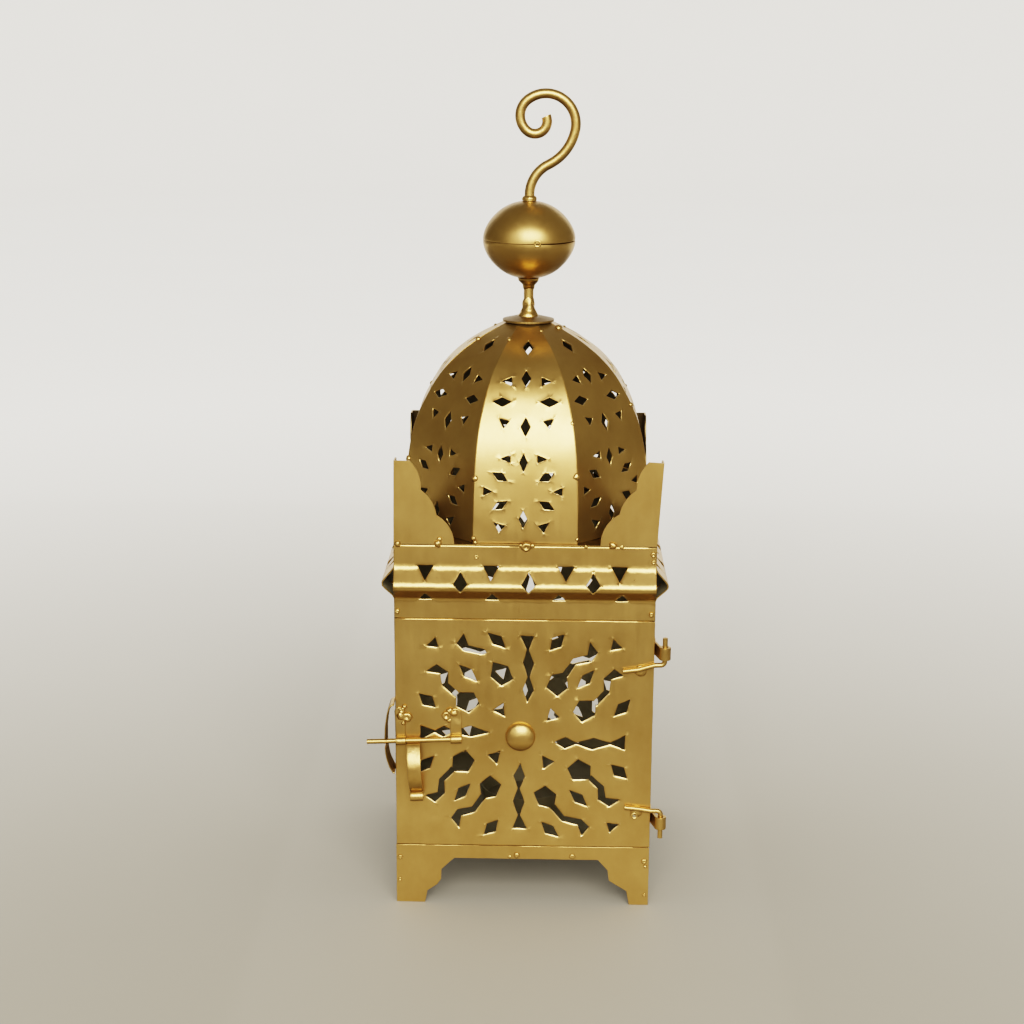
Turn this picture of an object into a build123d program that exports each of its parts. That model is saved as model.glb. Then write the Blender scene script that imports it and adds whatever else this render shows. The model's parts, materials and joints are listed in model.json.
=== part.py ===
from build123d import *

import math
import os

# A Moroccan sheet-metal candle lantern: a square pierced body with a hinged door, an eight-sided
# pierced dome, a hollow ball finial and a scrolled hanging hook.
# Millimetres. +Z is up, the door faces -Y, the hinges are on +X and the latch is on -X. The pieces are
# drawn about the centre of the square body, at the floor. The bolt, the door's boss and the hinges stick
# out unequally, and the last step moves the origin to the bottom centre of the whole lantern's box.

# ---- driving dimensions ----
SHEET = 0.8                 # thickness of all the sheet metal
BODY = 130.0                # width and depth over the walls
SKIRT_TOP = 31.9            # the arched skirt that makes the feet
WALL_TOP = 153.9            # where the moulding strip starts
MOULDING_TOP = 191.6
NOSE_REACH = 7.6            # sharp tip of the moulding's bend, before it is rounded
NOSE_Z = 171.2
EAR_HEIGHT = 41.8
DOME_TOP = 294.2
CAP_RADIUS = 13.2
BALL_RADIUS = 23.65
BALL_HALF_HEIGHT = 19.8
BALL_SEAM_Z = 335.5
ROD_RADIUS = 2.5            # the rod from the dome's cap to the end of the hook
HINGE_X = 70.2
HINGE_WIRE_RADIUS = 1.25
BOLT_RADIUS = 1.25
RUNNING_GAP = 0.06          # radial clearance of the pins and the bolt
SOLDER_GAP = 0.01           # between the rod and the solder round it
DOOR_GAP = 0.4              # gap above and below the door
PIERCING_Z = 92.0           # centre of the pierced pattern on the door and the walls
BODY_CENTRE = (3.0, 1.6)    # where the body's centre is, from the bottom centre of the whole box

HALF = BODY / 2
INNER = HALF - SHEET
FLOOR_TOP = SKIRT_TOP - 0.5
DECK_TOP = MOULDING_TOP + SHEET
FRAME_FRONT = HALF - 1.1    # front face of the door frame, just behind the door
DOOR_FRONT = -HALF
HINGE_Y = DOOR_FRONT - HINGE_WIRE_RADIUS

SIDES = ("front", "right", "back", "left")
CORNERS = ("front_right", "back_right", "back_left", "front_left")

parts = {}


# ---- general helpers ----
def upright(sketch, back_y, thickness=SHEET):
    """A plate standing in the XZ plane, with its back at back_y and its face towards -Y."""
    plane = Plane(origin=(0, back_y, 0), x_dir=(1, 0, 0), z_dir=(0, -1, 0))
    return extrude(plane * sketch, thickness)


def polygon(points):
    return Polygon(*points, align=None)


def block(low, high):
    size = [b - a for a, b in zip(low, high)]
    return Pos(*low) * Box(*size, align=(Align.MIN, Align.MIN, Align.MIN))


def turned(shape, quarter):
    """The same piece on another side of the body."""
    return Rot(0, 0, 90 * quarter) * shape


def diamond(x, y, length, width, angle=90.0):
    """A four-sided hole whose long axis points along angle."""
    long_x, long_y = math.cos(math.radians(angle)), math.sin(math.radians(angle))
    a, b = length / 2, width / 2
    corners = [(a, 0), (0, b), (-a, 0), (0, -b)]
    return polygon([(x + u * long_x - v * long_y, y + u * long_y + v * long_x) for u, v in corners])


def triangle(x, y, length, width, angle=90.0):
    """A three-sided hole whose point is towards angle."""
    long_x, long_y = math.cos(math.radians(angle)), math.sin(math.radians(angle))
    corners = [(length * 0.6, 0), (-length * 0.4, width / 2), (-length * 0.4, -width / 2)]
    return polygon([(x + u * long_x - v * long_y, y + u * long_y + v * long_x) for u, v in corners])


def bent_profile(points, radii, thickness):
    """A sheet's section along a bent path: the path is one face, the other lies to its left."""
    inner = []
    for i, (x, y) in enumerate(points):
        turns = []
        if i > 0:
            turns.append(math.atan2(y - points[i - 1][1], x - points[i - 1][0]))
        if i < len(points) - 1:
            turns.append(math.atan2(points[i + 1][1] - y, points[i + 1][0] - x))
        mean = (turns[0] + turns[-1]) / 2
        stretch = thickness / math.cos((turns[-1] - turns[0]) / 2)
        inner.append((x - math.sin(mean) * stretch, y + math.cos(mean) * stretch))
    inner_radii = []
    for i, radius in enumerate(radii, start=1):
        before = math.atan2(points[i][1] - points[i - 1][1], points[i][0] - points[i - 1][0])
        after = math.atan2(points[i + 1][1] - points[i][1], points[i + 1][0] - points[i][0])
        inner_radii.append(radius - thickness if after > before else radius + thickness)
    outer_side = FilletPolyline(*points, radius=radii)
    inner_side = FilletPolyline(*inner, radius=inner_radii)
    ends = [Line(points[0], inner[0]), Line(points[-1], inner[-1])]
    return make_face(Curve() + [outer_side, inner_side] + ends)


def ring_of_revolution(points):
    """A solid turned about the Z axis from an outline of (radius, z) points."""
    return revolve(Plane.XZ * polygon(points), Axis.Z)


def half_bead(radius, height):
    """A low dome that sits on the XZ plane and stands out towards -Y."""
    shoulder = (radius * math.cos(math.radians(45)), -height * math.sin(math.radians(45)))
    edge = Spline((radius, 0), shoulder, (0, -height), tangents=[(0, -1), (-1, 0)])
    section = make_face(Curve() + [edge, Line((0, -height), (0, 0)), Line((0, 0), (radius, 0))])
    return revolve(section, Axis.Y)


# ---- the pierced pattern of the door and the walls ----
# One quarter of the pattern, from its centre outwards. The other three are mirror images. The whole
# pattern is twisted about its centre, most near the middle, as hand-cut work often is.
TWIST_DEGREES = 8.0
TWIST_FADES_AT = 65.0
QUARTER_PATTERN = {
    "top_rhombus": [(19.3, 54.5), (12.7, 52.6), (11.1, 46.3), (17.1, 48.4)],
    "side_rhombus": [(53.2, 21.3), (46.9, 19.4), (45.0, 13.1), (51.5, 14.9)],
    "diagonal_rhombus": [(34.0, 36.7), (27.9, 34.2), (25.2, 27.6), (31.7, 30.1)],
    "corner_triangle": [(44.5, 52.0), (43.0, 46.5), (49.2, 47.3)],
    "inner_triangle": [(11.9, 16.5), (10.7, 9.5), (17.1, 12.0)],
    "low_pentagon": [(35.2, 21.2), (26.6, 21.4), (23.6, 15.2), (28.7, 10.0), (35.0, 13.7)],
    "low_tail": [(34.2, 21.5), (39.2, 26.4), (39.1, 32.7), (44.6, 37.1), (49.7, 33.4), (42.9, 32.0),
                 (42.0, 25.1), (35.6, 18.8)],
}
HIGH_PATTERN = {
    "high_pentagon": [(18.4, 36.9), (11.0, 35.2), (8.4, 28.6), (14.2, 24.3), (19.6, 28.9)],
    "high_tail": [(19.0, 34.6), (23.6, 41.0), (31.8, 42.7), (35.4, 47.0), (31.4, 52.2), (29.7, 46.0),
                  (22.2, 43.9), (16.6, 36.6)],
}
HIGH_SHIFT = (0.8, -1.5)    # the high motif is closer to the middle in two quarters, further in two
# On the door, the upper left tail stops short of its pentagon and the lower left triangle was never cut.
SHORT_TAIL = [(23.6, 41.0), (31.8, 42.7), (35.4, 47.0), (31.4, 52.2), (29.7, 46.0), (22.2, 43.9),
              (21.2, 41.8)]
UPPER_LEFT, LOWER_LEFT = (-1, 1), (-1, -1)
# Each chain: its start, then the lengths of two diamonds and an end triangle, and its half width.
CHAINS = {
    90.0: (18.4, 13.4, 14.5, 7.0, 2.8),
    0.0: (15.8, 11.0, 17.2, 7.4, 3.1),
    270.0: (15.0, 13.4, 14.6, 7.4, 3.0),
    180.0: (17.4, 18.6, 9.0, 7.3, 3.0),
}
RIGHT_CHAIN_DROP = 1.4


def twisted(points, sense):
    out = []
    for x, z in points:
        reach = math.hypot(x, z)
        turn = math.radians(TWIST_DEGREES * max(0.0, 1 - reach / TWIST_FADES_AT)) * sense
        new_x = x * math.cos(turn) + z * math.sin(turn)
        new_z = z * math.cos(turn) - x * math.sin(turn)
        out.append((new_x, new_z + PIERCING_Z))
    return polygon(out)


def chain_outlines(angle, start, first, second, tip, half_width):
    """Two diamonds and a triangle, point to point, along a line from the centre."""
    drop = RIGHT_CHAIN_DROP if angle == 0.0 else 0.0
    neck = 0.5
    end = start + first + second
    local = [
        [(start, 0), (start + first * 0.5, half_width), (start + first, neck),
         (start + first, -neck), (start + first * 0.5, -half_width)],
        [(start + first, neck), (start + first + second * 0.5, half_width), (end, neck),
         (end, -neck), (start + first + second * 0.5, -half_width), (start + first, -neck)],
        [(end, neck), (end + tip, half_width * 1.25), (end + tip, -half_width * 1.25), (end, -neck)],
    ]
    cos, sin = math.cos(math.radians(angle)), math.sin(math.radians(angle))
    return [[(u * cos - v * sin, u * sin + v * cos - drop) for u, v in points] for points in local]


def quarter_outlines(quarter, sense, on_door):
    """The holes of one quarter, before it is mirrored into place."""
    low, high = dict(QUARTER_PATTERN), dict(HIGH_PATTERN)
    if on_door and quarter == LOWER_LEFT:
        del low["corner_triangle"]
    if on_door and quarter == UPPER_LEFT:
        high["high_tail"] = SHORT_TAIL
    shift = [amount * quarter[0] * quarter[1] * sense for amount in HIGH_SHIFT]
    moved = [[(x + shift[0], z + shift[1]) for x, z in points] for points in high.values()]
    return list(low.values()) + moved


def piercing(sense, on_door=False):
    """All the holes of one panel, on the plane of the panel."""
    holes = []
    for flip_x in (1, -1):
        for flip_z in (1, -1):
            for points in quarter_outlines((flip_x, flip_z), sense, on_door):
                holes.append(twisted([(x * flip_x, z * flip_z) for x, z in points], sense))
    for angle, sizes in CHAINS.items():
        for points in chain_outlines(angle, *sizes):
            holes.append(twisted(points, sense))
    return Sketch() + holes


def panel(left, right, bottom, top):
    return Pos((left + right) / 2, (bottom + top) / 2) * Rectangle(right - left, top - bottom)


# ---- body: walls, frame, floor, skirts ----
def make_walls():
    full = panel(-HALF, HALF, SKIRT_TOP, WALL_TOP) - piercing(-1)
    parts["back_wall"] = turned(upright(full, -INNER), 2)
    # Each side wall stops short at the front, so that the door closes over its edge.
    door_side, back_side = FRAME_FRONT, INNER
    right = panel(-door_side, back_side, SKIRT_TOP, WALL_TOP) - piercing(-1)
    left = panel(-back_side, door_side, SKIRT_TOP, WALL_TOP) - piercing(1)
    parts["right_wall"] = turned(upright(right, -INNER), 1)
    parts["left_wall"] = turned(upright(left, -INNER), 3)
    jamb = 56.0
    doorway = panel(-jamb, jamb, 36.0, 149.0)
    frame = panel(-INNER, INNER, FLOOR_TOP, WALL_TOP + 4.0) - doorway
    parts["front_frame"] = upright(frame, -FRAME_FRONT + SHEET)


def make_floor():
    parts["floor_plate"] = block((-INNER, -INNER, FLOOR_TOP - SHEET), (INNER, INNER, FLOOR_TOP))
    cup_radius, cup_height = 24.0, 9.0
    outline = [
        (0, FLOOR_TOP), (cup_radius - 2.0, FLOOR_TOP), (cup_radius, FLOOR_TOP + cup_height),
        (cup_radius - SHEET, FLOOR_TOP + cup_height), (cup_radius - 2.8, FLOOR_TOP + SHEET),
        (0, FLOOR_TOP + SHEET),
    ]
    parts["candle_cup"] = ring_of_revolution(outline)


def skirt_outline(left_foot, right_foot, width):
    """A strip with an arch cut in its lower edge, each side of the arch in two steps."""
    arch_top = 24.8
    half = width / 2
    a, b = -half + left_foot, half - right_foot
    arch = [
        (a, -1.0), (a + 1.5, 6.4), (a + 6.5, 10.0), (a + 8.6, 13.0), (a + 8.8, 18.5), (a + 15.4, arch_top),
        (b - 16.6, arch_top), (b - 11.6, 19.0), (b - 10.8, 13.4), (b - 1.6, 7.6), (b, -1.0),
    ]
    return panel(-half, half, 0.0, SKIRT_TOP) - polygon(arch)


def make_skirts():
    feet = {"front": (14.4, 9.6), "right": (12.0, 13.0), "back": (11.0, 13.6), "left": (13.4, 11.0)}
    for quarter, side in enumerate(SIDES):
        across = side in ("front", "back")
        width = BODY if across else 2 * INNER
        strip = upright(skirt_outline(*feet[side], width), -INNER)
        parts["skirt_" + side] = turned(strip, quarter)


# ---- moulding strips under the dome ----
MOULDING_TRIANGLES = (-49.3, -16.8, 20.3, 46.8)
MOULDING_DIAMONDS = (-31.8, 1.9, 33.8)
MOULDING_SLITS = (-49.4, -16.2, 17.0, 48.2)


def make_mouldings():
    path = [
        (-HALF, WALL_TOP), (-HALF, 164.4), (-HALF - NOSE_REACH, NOSE_Z),
        (-HALF, 180.2), (-HALF, MOULDING_TOP),
    ]
    section = bent_profile([(y, z) for y, z in reversed(path)], [2.4, 3.0, 1.6], SHEET)
    for quarter, side in enumerate(SIDES):
        across = side in ("front", "back")
        width = BODY if across else 2 * INNER
        strip = extrude(Plane.YZ * section, width / 2, both=True)
        holes = [triangle(x, 178.8, 6.4, 8.0, -90) for x in MOULDING_TRIANGLES]
        holes += [diamond(x, 173.7, 9.8, 7.0) for x in MOULDING_DIAMONDS]
        holes += [triangle(x, 165.6, 4.0, 6.0, 90) for x in MOULDING_SLITS]
        cutter = upright(Sketch() + holes, -INNER + 2.0, 20.0)
        parts["moulding_" + side] = turned(strip - cutter, quarter)


# ---- roof deck and the corner crests ----
def octagon(across_flats):
    return RegularPolygon(across_flats / 2, 8, major_radius=False, rotation=22.5)


def make_deck():
    plate = Rectangle(BODY, BODY) - octagon(2 * 61.0)
    parts["roof_deck"] = extrude(Pos(0, 0, MOULDING_TOP) * plate, SHEET)


# Each crest: how many degrees it leans out past the wall on its left, as seen from the middle of the
# body, then past the wall on its right, and its width against the widest one.
CRESTS = {
    "front_right": (3.4, -0.8, 0.93),
    "back_right": (-0.3, -0.3, 1.0),
    "back_left": (0.4, 0.4, 1.0),
    "front_left": (-0.5, -0.5, 1.0),
}


def crest_outline(width):
    """Half a corner crest, flat: a straight corner edge and three lobes down the inner edge."""
    below = -4.0
    top, first, second, foot = 8.0 * width, 13.4 * width, 21.2 * width, 30.0 * width
    edges = [
        Line((0, below), (0, EAR_HEIGHT)),
        Line((0, EAR_HEIGHT), (top, EAR_HEIGHT)),
        ThreePointArc((top, EAR_HEIGHT), (11.9 * width, 36.2), (first, 27.4)),
        ThreePointArc((first, 27.4), (18.6 * width, 22.0), (second, 14.8)),
        ThreePointArc((second, 14.8), (27.0 * width, 9.6), (foot, 0.8)),
        Line((foot, 0.8), (foot, below)),
        Line((foot, below), (0, below)),
    ]
    return make_face(Curve() + edges)


def make_crests():
    room = block((-100, -100, DECK_TOP), (100, 100, DECK_TOP + 60))
    pivot = Pos(-HALF, -HALF, DECK_TOP)
    for quarter, corner in enumerate(CORNERS, start=1):
        left_lean, right_lean, width = CRESTS[corner]
        facing = upright(Pos(-HALF, DECK_TOP) * crest_outline(width), -INNER)
        # The second wing is the first one reflected across the corner's diagonal.
        wing = Rot(0, 0, -90) * mirror(facing, Plane.YZ)
        leaning = pivot * Rot(0, -right_lean, 0) * Rot(left_lean, 0, 0) * pivot.inverse() * (facing + wing)
        parts["crest_" + corner] = turned(leaning, quarter) & room


# ---- the dome ----
# Half the distance across the dome's flats at each height.
DOME_PROFILE = (
    (62.3, 192.4), (62.0, 207.0), (60.9, 223.0), (58.6, 239.0), (55.2, 250.0), (51.4, 258.0),
    (45.8, 267.5), (39.6, 275.0), (32.0, 281.8), (22.0, 288.4), (13.5, 292.8), (10.5, DOME_TOP),
)


def gore_holes():
    """Each hole of a gore: how far up the sheet it is, and its outline about that place."""
    holes = [(103.0, diamond(0.2, 0, 10.0, 5.2))]
    petals = 4
    for k in range(petals):
        angle = 90.0 + 360.0 / petals * k
        x, up = 11.6 * math.cos(math.radians(angle)), 12.6 * math.sin(math.radians(angle))
        holes.append((70.6 + up, diamond(x - 0.4, 0, 9.6, 5.0, angle)))
    for side in (1, -1):
        holes.append((81.6, triangle(9.4 * side, 0, 5.0, 5.0, 90 - 90 * side)))
        holes.append((60.2, triangle(11.2 * side, 0, 4.8, 4.8, 90 - 50 * side)))
    petals = 6
    for k in range(petals):
        angle = 90.0 + 360.0 / petals * k
        x, up = 13.2 * math.cos(math.radians(angle)), 14.2 * math.sin(math.radians(angle))
        holes.append((26.2 + up, diamond(x - 1.2, 0, 8.8, 4.4, angle)))
    for side in (1, -1):
        holes.append((42.2, triangle(8.6 * side - 1.0, 0, 4.9, 4.0, 90 - 90 * side)))
        holes.append((26.0, triangle(17.6 * side - 1.4, 0, 4.4, 4.2, 90 + 90 * side)))
        holes.append((8.6, triangle(11.2 * side - 2.0, 0, 5.4, 4.8, 90 - 50 * side)))
    return holes


def make_gore():
    """One gore: a flat-topped strip bent along the dome's profile, cut to an eighth of a turn."""
    outer = Spline(*[(0, -a, z) for a, z in DOME_PROFILE])
    steps = 24
    inner_points = []
    for i in range(steps + 1):
        place, along = outer @ (i / steps), outer % (i / steps)
        inner_points.append(place + Vector(0, along.Z, -along.Y) * SHEET)
    inner = Spline(*inner_points)
    ends = [Line(outer @ 0, inner @ 0), Line(outer @ 1, inner @ 1)]
    section = make_face(Curve() + [outer, inner] + ends)
    strip = extrude(section, 30.0, dir=(1, 0, 0), both=True)
    reach = 80.0
    half_width = reach * math.tan(math.radians(22.5))
    wedge = extrude(polygon([(0, 0), (-half_width, -reach), (half_width, -reach)]), 300.0)
    room = block((-reach, -reach, DECK_TOP), (reach, reach, DOME_TOP))
    cutters = []
    for up, hole in gore_holes():
        place, along = outer @ (up / outer.length), outer % (up / outer.length)
        plane = Plane(origin=place, x_dir=(1, 0, 0), z_dir=(0, -along.Z, along.Y))
        cutters.append(extrude(plane * hole, 3.0, both=True))
    return (strip & wedge & room) - cutters


def make_dome():
    gore = make_gore()
    for k in range(8):
        parts[f"dome_gore_{k + 1}"] = Rot(0, 0, 45 * k) * gore


# ---- cap, stem, ball and hook ----
CAP_TOP = 296.8
HOOK_START_Z = 358.0
# The hook's centre line from the top of the straight rod: each arc's radius and its turn in degrees,
# positive to the left of travel.
HOOK_ARCS = ((16.8, -64.0), (24.4, 51.5), (15.0, 139.5), (9.8, 103.5), (6.1, 155.0))


def hook_centre_line():
    x, z, heading = 0.0, HOOK_START_Z, 90.0
    pieces = [Line((0, 0, CAP_TOP), (0, 0, HOOK_START_Z))]
    for radius, turn in HOOK_ARCS:
        side = 1 if turn > 0 else -1
        cx = x - radius * side * math.sin(math.radians(heading))
        cz = z + radius * side * math.cos(math.radians(heading))
        places = []
        for share in (0.5, 1.0):
            angle = math.radians(heading - 90 * side + turn * share)
            places.append((cx + radius * math.cos(angle), 0, cz + radius * math.sin(angle)))
        pieces.append(ThreePointArc((x, 0, z), *places))
        x, z = places[1][0], places[1][2]
        heading += turn
    return pieces


def make_rod():
    path = Wire(hook_centre_line())
    profile = Plane(origin=(0, 0, CAP_TOP), z_dir=(0, 0, 1)) * Circle(ROD_RADIUS)
    parts["hook_rod"] = sweep(profile, path=path)


def make_cap_and_stem():
    cap = [(0, DOME_TOP), (CAP_RADIUS, DOME_TOP), (CAP_RADIUS, 295.2), (6.6, CAP_TOP), (0, CAP_TOP)]
    parts["cap_plate"] = ring_of_revolution(cap)
    bore = ROD_RADIUS + SOLDER_GAP
    foot = [(bore, CAP_TOP), (5.6, CAP_TOP), (5.2, 298.2), (3.6, 300.6), (3.1, 303.4), (bore, 303.8)]
    lump = [(bore, 305.0), (3.3, 306.2), (3.4, 307.8), (bore, 309.2)]
    cone = [(bore, 309.8), (3.0, 310.2), (3.9, 313.0), (5.5, 315.0), (5.3, 315.7), (bore, 315.7)]
    ball_top = BALL_SEAM_Z + BALL_HALF_HEIGHT
    collar = [(bore, ball_top), (3.7, ball_top), (3.9, 356.4), (3.2, 357.6), (bore, 357.9)]
    solids = [ring_of_revolution(points) for points in (foot, lump, cone, collar)]
    parts["stem_solder"] = Compound(children=solids)


def make_ball():
    """Two half shells, butted at the seam, each with a hole for the rod at its pole."""
    hole = ROD_RADIUS + 0.05
    steps = 24
    halves = {"ball_lower_half": -1, "ball_upper_half": 1}
    for name, side in halves.items():
        outline = []
        for radius, half_height in ((BALL_RADIUS, BALL_HALF_HEIGHT), (BALL_RADIUS - SHEET, 19.0)):
            last = math.acos(hole / radius)
            angles = [last * i / steps for i in range(steps + 1)]
            points = [(radius * math.cos(a), BALL_SEAM_Z + side * half_height * math.sin(a)) for a in angles]
            outline.append(points)
        outer, inner = (Spline(*points) for points in outline)
        ends = [Line(outer @ 0, inner @ 0), Line(outer @ 1, inner @ 1)]
        parts[name] = revolve(Plane.XZ * make_face(Curve() + [outer, inner] + ends), Axis.Z)


# ---- door ----
DOOR_LEFT = -HALF + 0.2
DOOR_RIGHT = HALF
DOOR_BOTTOM = SKIRT_TOP + DOOR_GAP
DOOR_TOP = WALL_TOP - DOOR_GAP


def make_door():
    sheet = panel(DOOR_LEFT, DOOR_RIGHT, DOOR_BOTTOM, DOOR_TOP) - piercing(1, on_door=True)
    parts["door_panel"] = upright(sheet, DOOR_FRONT + SHEET)
    parts["door_boss"] = Pos(-1.6, DOOR_FRONT, PIERCING_Z) * half_bead(7.6, 4.4)


UPPER_EYE = (134.4, 140.8)
LOWER_EYE = (43.6, 50.0)


def make_hinges():
    hole = HINGE_WIRE_RADIUS + RUNNING_GAP
    ring_radius = 2.9
    arms = {
        "upper": [(49.6, 127.8), (57.4, 128.8), (65.0, 131.2), (HINGE_X, 131.4), (HINGE_X, 145.6)],
        "lower": [(51.8, 54.6), (58.6, 54.0), (65.0, 53.0), (HINGE_X, 53.0), (HINGE_X, 38.4)],
    }
    pads = {"upper": (58.4, 128.0), "lower": (58.0, 52.2)}
    for name, (low, high) in (("upper", UPPER_EYE), ("lower", LOWER_EYE)):
        tail = polygon([
            (HINGE_X - ring_radius, HINGE_Y), (HINGE_X - hole, HINGE_Y), (HALF + 1.2, -57.0),
            (HALF + 1.2, -50.0), (HALF, -50.0), (HALF, -58.0),
        ])
        ring = Pos(HINGE_X, HINGE_Y) * Circle(ring_radius)
        eye = (ring + tail) - Pos(HINGE_X, HINGE_Y) * Circle(hole)
        parts["hinge_eye_" + name] = extrude(Pos(0, 0, low) * eye, high - low)

        points = [(x, HINGE_Y, z) for x, z in arms[name]]
        path = FilletPolyline(*points, radius=[12.0, 8.0, 2.0])
        section = Plane(origin=path @ 0, z_dir=path % 0) * Circle(HINGE_WIRE_RADIUS)
        wire = sweep(section, path=path)
        pad_x, pad_z = pads[name]
        pad = Pos(pad_x, DOOR_FRONT, pad_z) * half_bead(3.1, 1.8)
        parts["hinge_arm_" + name] = wire + pad


# ---- latch, built square and then tilted with the bolt ----
LATCH_TILT = 2.4
LATCH_X = -55.0
LATCH_Z = 90.1
BOLT_TO_DOOR = 2.4          # from the bolt's centre to the door's face
BOLT_LEFT = -24.2           # the bolt's ends, from LATCH_X along the bolt
BOLT_RIGHT = 23.6
KEEPERS = {"left": (-9.6, -4.6, 17.4), "right": (18.2, 24.0, 15.6)}
HANDLE = (-4.0, 3.0)
CURL_DROP = 31.4


def tilted(shape):
    """From the bolt's own frame, with the bolt on the X axis, to the body's frame."""
    return Pos(LATCH_X, DOOR_FRONT - BOLT_TO_DOOR, LATCH_Z) * Rot(0, -LATCH_TILT, 0) * shape


def along_bolt(section, low, high):
    """Extrude a section drawn in the plane across the bolt."""
    return extrude(Plane(origin=(low, 0, 0), x_dir=(0, 1, 0), z_dir=(1, 0, 0)) * section, high - low)


def make_latch():
    hole = BOLT_RADIUS + RUNNING_GAP
    knuckle = hole + 0.85
    rod = Cylinder(BOLT_RADIUS, BOLT_RIGHT - BOLT_LEFT, rotation=(0, 90, 0))
    parts["bolt_rod"] = tilted(Pos((BOLT_LEFT + BOLT_RIGHT) / 2, 0, 0) * rod)
    for name, (low, high, top) in KEEPERS.items():
        strap = panel(BOLT_TO_DOOR - 0.9, BOLT_TO_DOOR, 0.0, top)
        section = Circle(knuckle) + strap - Circle(hole)
        parts["bolt_keeper_" + name] = tilted(along_bolt(section, low, high))
    blobs = [(-4.0, 11.4, 1.7), (-5.8, 17.6, 1.3), (16.4, 12.0, 1.7)]
    beads = [tilted(Pos(x, BOLT_TO_DOOR, z) * half_bead(r, r)) for x, z, r in blobs]
    straps = [parts["bolt_keeper_" + name] for name in KEEPERS]
    cut = [solid for bead in beads for solid in (bead - straps).solids()]
    parts["keeper_solder"] = Compound(children=cut)


def make_handle():
    """A bowed strap that hangs from the bolt and ends in a curl for the finger."""
    hole = BOLT_RADIUS + RUNNING_GAP
    saddle = (Circle(hole + 0.7) - Circle(hole)) & panel(-3, 3, -3, -0.2)
    strap_path = [(0.0, -1.6), (-7.4, -11.0), (-7.2, -19.0), (-2.7, -30.8)]
    strap = bent_profile(strap_path, [7.0, 7.0], 0.9)
    curl = Pos(-1.2, -CURL_DROP) * (Circle(2.6) - Circle(1.0))
    handle = along_bolt(saddle + strap + curl, *HANDLE)
    parts["bolt_handle"] = tilted(handle)


def make_side_keeper():
    """A strap bowed out from the left wall; the bolt enters its slot from the front."""
    front, back = -71.0, -58.5
    bolt_entry_z, half_slot = 89.5, 1.7
    bow = [(-HALF, 112.0), (-HALF - 0.4, 107.0), (-HALF - 4.6, 93.0), (-HALF - 4.4, 87.0),
           (-HALF - 0.4, 77.0), (-HALF, 72.0)]
    section = bent_profile(bow, [6.0, 4.0, 4.0, 6.0], -0.9)
    strap = extrude(Plane.XZ.offset(-back) * section, back - front)
    slot_low = (-HALF - 9, front - 1, bolt_entry_z - half_slot)
    slot_high = (-HALF - 1, DOOR_FRONT - BOLT_TO_DOOR + 1.8, bolt_entry_z + half_slot)
    parts["side_keeper"] = strap - block(slot_low, slot_high)


# ---- solder beads that show on the front of the body ----
def make_body_beads():
    on_front = [
        (-63.0, 192.4, 1.4), (63.2, 188.6, 1.4), (63.2, 183.8, 1.3), (-43.0, 192.4, 1.8), (43.2, 192.4, 1.8),
        (0.6, 191.0, 2.2), (-24.0, 186.0, 0.9), (-63.4, 157.0, 1.3), (63.0, 157.2, 1.3),
        (-63.0, 25.0, 1.2), (-63.2, 12.4, 1.3), (63.2, 23.6, 1.3), (63.0, 6.0, 1.2),
        (-3.0, 27.0, 1.4), (25.6, 27.0, 1.2),
    ]
    beads = [Pos(x, -HALF, z) * half_bead(radius, radius * 0.8) for x, z, radius in on_front]
    parts["solder_beads"] = Compound(children=beads)


def main():
    make_walls()
    make_floor()
    make_skirts()
    make_mouldings()
    make_deck()
    make_crests()
    make_dome()
    make_cap_and_stem()
    make_ball()
    make_rod()
    make_body_beads()
    make_door()
    make_hinges()
    make_latch()
    make_handle()
    make_side_keeper()
    os.makedirs("parts", exist_ok=True)
    for name, shape in parts.items():
        placed = shape.moved(Location((*BODY_CENTRE, 0)))
        export_step(placed, f"parts/{name}.step")
        box = placed.bounding_box()
        print(name, [round(v, 2) for v in (*box.min, *box.max)])


main()
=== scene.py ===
import json
import math

import bmesh
import bpy
import numpy as np
from mathutils import Matrix, Quaternion, Vector, noise
from mathutils.geometry import delaunay_2d_cdt


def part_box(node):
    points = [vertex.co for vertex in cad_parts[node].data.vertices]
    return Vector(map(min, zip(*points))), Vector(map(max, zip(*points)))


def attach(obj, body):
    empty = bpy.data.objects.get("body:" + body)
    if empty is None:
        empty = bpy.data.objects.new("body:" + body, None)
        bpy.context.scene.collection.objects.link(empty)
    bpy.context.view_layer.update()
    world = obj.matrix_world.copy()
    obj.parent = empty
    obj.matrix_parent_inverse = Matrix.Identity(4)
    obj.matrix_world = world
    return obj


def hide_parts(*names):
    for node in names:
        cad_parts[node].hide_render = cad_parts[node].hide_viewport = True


# The looks of a Moroccan candle lantern: hand-cut and soldered sheet, painted gold.
# The frame is in metres. Small shapes are worked out in millimetres and scaled at the end.

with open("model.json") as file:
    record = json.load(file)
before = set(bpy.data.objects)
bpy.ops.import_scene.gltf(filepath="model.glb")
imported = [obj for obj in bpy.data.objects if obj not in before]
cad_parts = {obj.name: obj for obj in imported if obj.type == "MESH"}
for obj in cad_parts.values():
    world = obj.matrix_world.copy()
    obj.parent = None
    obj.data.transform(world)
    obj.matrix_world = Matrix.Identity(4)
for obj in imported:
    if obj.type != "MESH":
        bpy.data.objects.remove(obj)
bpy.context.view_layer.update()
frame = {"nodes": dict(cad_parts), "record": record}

MM = 0.001
SHEET = 0.8
DECK_LOW, DECK_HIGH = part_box("roof_deck")
BODY_AXIS = Vector(((DECK_LOW[0] + DECK_HIGH[0]) / 2, (DECK_LOW[1] + DECK_HIGH[1]) / 2, 0))
NODES = frame["nodes"]
BODIES = frame["record"]["behaviour"]["bodies"]
NODE_BODY = {node: body for body, members in BODIES.items() for node in members}
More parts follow.
